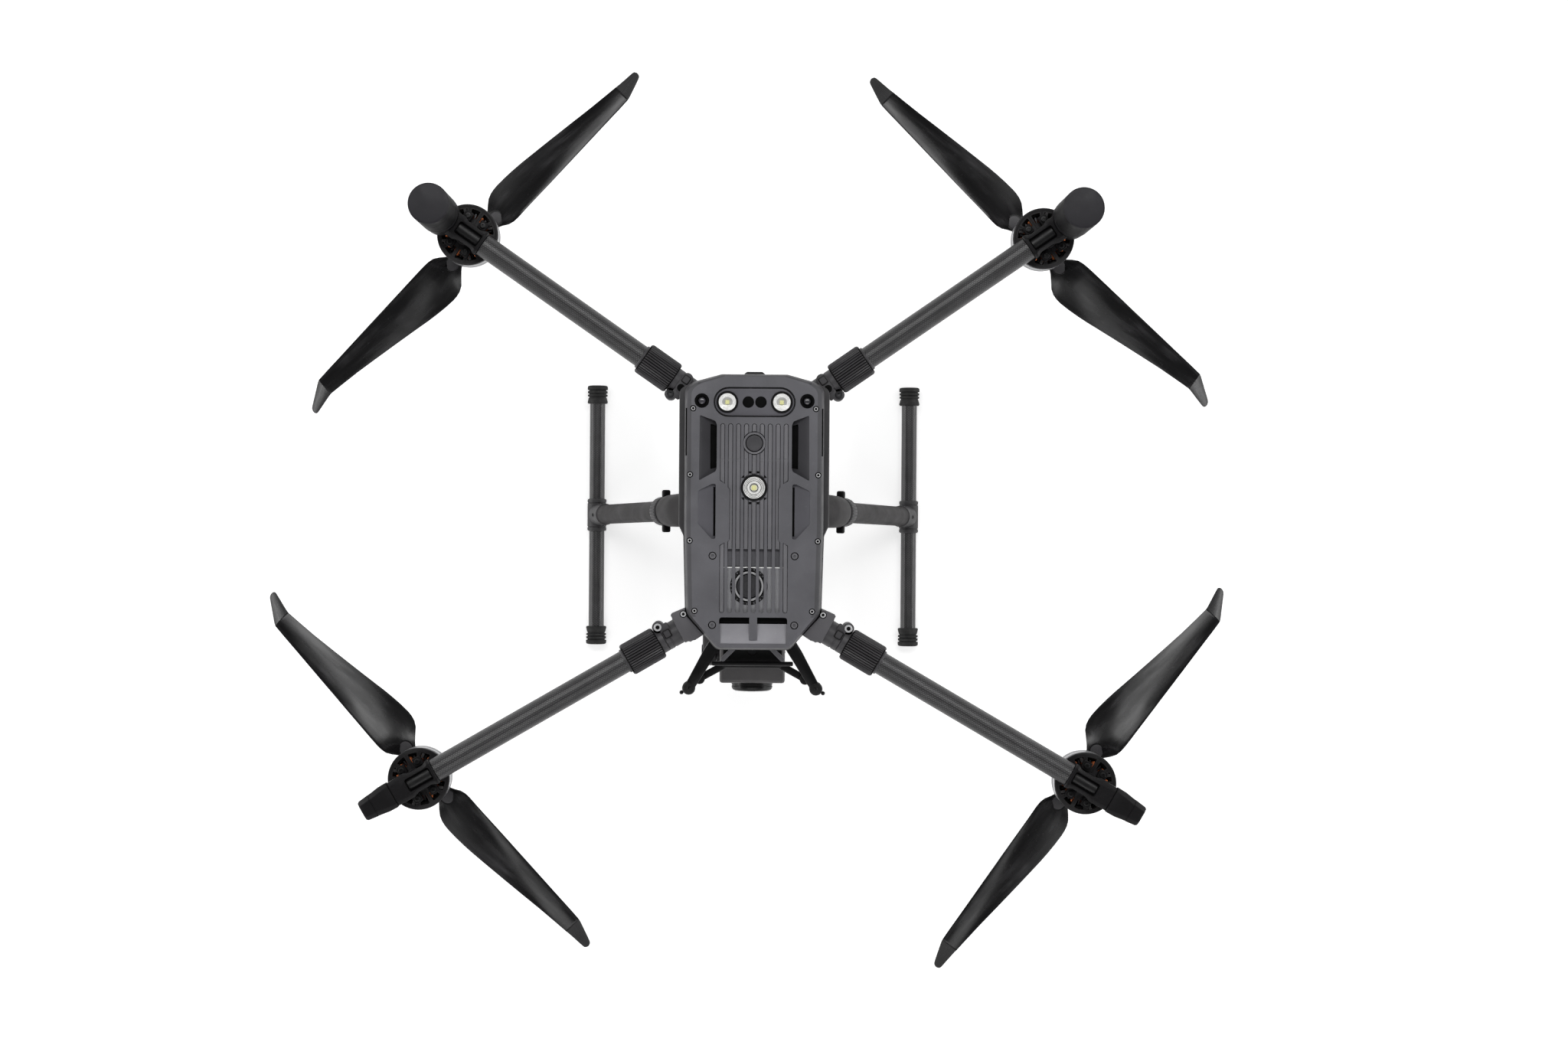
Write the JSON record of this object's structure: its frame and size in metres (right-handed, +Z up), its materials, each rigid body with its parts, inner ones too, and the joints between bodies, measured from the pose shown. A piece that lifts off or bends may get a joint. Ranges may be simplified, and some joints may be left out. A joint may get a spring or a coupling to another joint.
{
  "type": "folding quadcopter drone",
  "caption": "Folding multirotor drone with motors slung under inclined arms, twin skids, a finned top cover and a gimballed camera under the nose.",
  "frame": {"origin": "on the floor, below the middle of the drone seen from above", "axes": "+X to the right wing side, +Y to the tail, +Z up; the nose points to -Y"},
  "size_m": [1.0615, 1.0065, 0.43],
  "materials": {
    "cover": "satin",
    "dark_shell": "satin",
    "black_plastic": "matte",
    "carbon": "woven fibre under clear resin",
    "blade": "gloss",
    "rubber": "matte",
    "motor_metal": "satin",
    "sink_metal": "matte black",
    "lens": "clear"
  },
  "bodies": {
    "airframe": {"center_frame": "dark_shell", "upper_cover": "cover", "lower_tub": "dark_shell", "heat_sink": "sink_metal", "lamp_panel": "black_plastic", "beacon_lamp": "lens", "gimbal_bracket": "black_plastic", "leg_left": "carbon", "leg_right": "carbon", "skid_left": "carbon", "skid_right": "carbon", "skid_cap_rear_left": "rubber", "skid_cap_rear_right": "rubber", "skid_cap_front_left": "rubber", "skid_cap_front_right": "rubber"},
    "arm_rear_left": {"arm_coupling_rear_left": "dark_shell", "arm_tube_rear_left": "carbon", "motor_mount_rear_left": "dark_shell", "motor_stator_rear_left": "motor_metal", "antenna_rear_left": "dark_shell"},
    "sleeve_rear_left": {"lock_sleeve_rear_left": "black_plastic"},
    "propeller_rear_left": {"rotor_rear_left": "motor_metal"},
    "blade_a_rear_left": {"blade_a_rear_left": "blade"},
    "blade_b_rear_left": {"blade_b_rear_left": "blade"},
    "arm_rear_right": {"arm_coupling_rear_right": "dark_shell", "arm_tube_rear_right": "carbon", "motor_mount_rear_right": "dark_shell", "motor_stator_rear_right": "motor_metal", "antenna_rear_right": "dark_shell"},
    "sleeve_rear_right": {"lock_sleeve_rear_right": "black_plastic"},
    "propeller_rear_right": {"rotor_rear_right": "motor_metal"},
    "blade_a_rear_right": {"blade_a_rear_right": "blade"},
    "blade_b_rear_right": {"blade_b_rear_right": "blade"},
    "arm_front_left": {"arm_coupling_front_left": "dark_shell", "arm_tube_front_left": "carbon", "motor_mount_front_left": "dark_shell", "motor_stator_front_left": "motor_metal", "nose_cap_front_left": "dark_shell"},
    "sleeve_front_left": {"lock_sleeve_front_left": "black_plastic"},
    "propeller_front_left": {"rotor_front_left": "motor_metal"},
    "blade_a_front_left": {"blade_a_front_left": "blade"},
    "blade_b_front_left": {"blade_b_front_left": "blade"},
    "arm_front_right": {"arm_coupling_front_right": "dark_shell", "arm_tube_front_right": "carbon", "motor_mount_front_right": "dark_shell", "motor_stator_front_right": "motor_metal", "nose_cap_front_right": "dark_shell"},
    "sleeve_front_right": {"lock_sleeve_front_right": "black_plastic"},
    "propeller_front_right": {"rotor_front_right": "motor_metal"},
    "blade_a_front_right": {"blade_a_front_right": "blade"},
    "blade_b_front_right": {"blade_b_front_right": "blade"},
    "gimbal_yaw": {"gimbal_yaw_arm": "black_plastic"},
    "gimbal_roll": {"gimbal_roll_arm": "black_plastic"},
    "camera_head": {"camera": "black_plastic"},
    "button": {"power_button": "dark_shell"},
    "pack_left": {"battery_left": "black_plastic"},
    "ring_left": {"lock_ring_left": "black_plastic"},
    "pack_right": {"battery_right": "black_plastic"},
    "ring_right": {"lock_ring_right": "black_plastic"},
    "fan": {"cooling_fan": "black_plastic"}
  },
  "joints": [
    {"name": "arm_fold_rear_left", "type": "hinge", "parent": "airframe", "child": "arm_rear_left", "pos_m": [-0.09201, 0.13297, 0.311], "axis": [0, 0, 1], "range_deg": [0, 104]},
    {"name": "sleeve_slide_rear_left", "type": "slide", "parent": "arm_rear_left", "child": "sleeve_rear_left", "axis": [-0.8189, 0.5643, 0.1045], "range_m": [0, 0.03]},
    {"name": "rotor_spin_rear_left", "type": "hinge", "parent": "arm_rear_left", "child": "propeller_rear_left", "pos_m": [-0.314, 0.305, 0.32367], "axis": [0, 0, 1], "continuous": true},
    {"name": "blade_swing_a_rear_left", "type": "hinge", "parent": "propeller_rear_left", "child": "blade_a_rear_left", "pos_m": [-0.29923, 0.32062, 0.26167], "axis": [0, 0, 1], "range_deg": [-110, 110]},
    {"name": "blade_swing_b_rear_left", "type": "hinge", "parent": "propeller_rear_left", "child": "blade_b_rear_left", "pos_m": [-0.32877, 0.28938, 0.26167], "axis": [0, 0, 1], "range_deg": [-110, 110]},
    {"name": "arm_fold_rear_right", "type": "hinge", "parent": "airframe", "child": "arm_rear_right", "pos_m": [0.09201, 0.13297, 0.311], "axis": [0, 0, -1], "range_deg": [0, 104]},
    {"name": "sleeve_slide_rear_right", "type": "slide", "parent": "arm_rear_right", "child": "sleeve_rear_right", "axis": [0.8189, 0.5643, 0.1045], "range_m": [0, 0.03]},
    {"name": "rotor_spin_rear_right", "type": "hinge", "parent": "arm_rear_right", "child": "propeller_rear_right", "pos_m": [0.314, 0.305, 0.32367], "axis": [0, 0, 1], "continuous": true},
    {"name": "blade_swing_a_rear_right", "type": "hinge", "parent": "propeller_rear_right", "child": "blade_a_rear_right", "pos_m": [0.29876, 0.32016, 0.26167], "axis": [0, 0, -1], "range_deg": [-110, 110]},
    {"name": "blade_swing_b_rear_right", "type": "hinge", "parent": "propeller_rear_right", "child": "blade_b_rear_right", "pos_m": [0.32924, 0.28984, 0.26167], "axis": [0, 0, -1], "range_deg": [-110, 110]},
    {"name": "arm_fold_front_left", "type": "hinge", "parent": "airframe", "child": "arm_front_left", "pos_m": [-0.10285, -0.12027, 0.337], "axis": [0, 0, 1], "range_deg": [-102, 0]},
    {"name": "sleeve_slide_front_left", "type": "slide", "parent": "arm_front_left", "child": "sleeve_front_left", "axis": [-0.8615, -0.4969, 0.1045], "range_m": [0, 0.03]},
    {"name": "rotor_spin_front_left", "type": "hinge", "parent": "arm_front_left", "child": "propeller_front_left", "pos_m": [-0.359, -0.285, 0.35217], "axis": [0, 0, 1], "continuous": true},
    {"name": "blade_swing_a_front_left", "type": "hinge", "parent": "propeller_front_left", "child": "blade_a_front_left", "pos_m": [-0.37315, -0.26881, 0.29017], "axis": [0, 0, 1], "range_deg": [-110, 86]},
    {"name": "blade_swing_b_front_left", "type": "hinge", "parent": "propeller_front_left", "child": "blade_b_front_left", "pos_m": [-0.34485, -0.30119, 0.29017], "axis": [0, 0, 1], "range_deg": [-110, 86]},
    {"name": "arm_fold_front_right", "type": "hinge", "parent": "airframe", "child": "arm_front_right", "pos_m": [0.10285, -0.12027, 0.337], "axis": [0, 0, -1], "range_deg": [-102, 0]},
    {"name": "sleeve_slide_front_right", "type": "slide", "parent": "arm_front_right", "child": "sleeve_front_right", "axis": [0.8615, -0.4969, 0.1045], "range_m": [0, 0.03]},
    {"name": "rotor_spin_front_right", "type": "hinge", "parent": "arm_front_right", "child": "propeller_front_right", "pos_m": [0.359, -0.285, 0.35217], "axis": [0, 0, 1], "continuous": true},
    {"name": "blade_swing_a_front_right", "type": "hinge", "parent": "propeller_front_right", "child": "blade_a_front_right", "pos_m": [0.37177, -0.26771, 0.29017], "axis": [0, 0, -1], "range_deg": [-110, 86]},
    {"name": "blade_swing_b_front_right", "type": "hinge", "parent": "propeller_front_right", "child": "blade_b_front_right", "pos_m": [0.34623, -0.30229, 0.29017], "axis": [0, 0, -1], "range_deg": [-110, 86]},
    {"name": "gimbal_yaw_turn", "type": "hinge", "parent": "airframe", "child": "gimbal_yaw", "pos_m": [0, -0.153, 0.2], "axis": [0, 0, 1], "range_deg": [-320, 320]},
    {"name": "gimbal_roll_turn", "type": "hinge", "parent": "gimbal_yaw", "child": "gimbal_roll", "pos_m": [0, -0.162, 0.142], "axis": [0, 1, 0], "range_deg": [-45, 45]},
    {"name": "camera_pitch", "type": "hinge", "parent": "gimbal_roll", "child": "camera_head", "pos_m": [0, -0.162, 0.142], "axis": [1, 0, 0], "range_deg": [-30, 120]},
    {"name": "button_press", "type": "slide", "parent": "airframe", "child": "button", "axis": [0, 0, -1], "range_m": [0, 0.001], "stiffness_N_per_m": 400, "springref_m": -0.002},
    {"name": "battery_slide_left", "type": "slide", "parent": "airframe", "child": "pack_left", "axis": [0, 1, 0], "range_m": [0, 0.12]},
    {"name": "ring_twist_left", "type": "hinge", "parent": "airframe", "child": "ring_left", "pos_m": [-0.084, 0.006, 0.27], "axis": [-0.3867, -0.0215, -0.922], "range_deg": [0, 90]},
    {"name": "battery_slide_right", "type": "slide", "parent": "airframe", "child": "pack_right", "axis": [0, 1, 0], "range_m": [0, 0.12]},
    {"name": "ring_twist_right", "type": "hinge", "parent": "airframe", "child": "ring_right", "pos_m": [0.084, 0.006, 0.27], "axis": [0.3867, -0.0215, -0.922], "range_deg": [0, 90]},
    {"name": "fan_spin", "type": "hinge", "parent": "airframe", "child": "fan", "pos_m": [-0.005, -0.075, 0.3317], "axis": [0, 0, 1], "continuous": true}
  ]
}
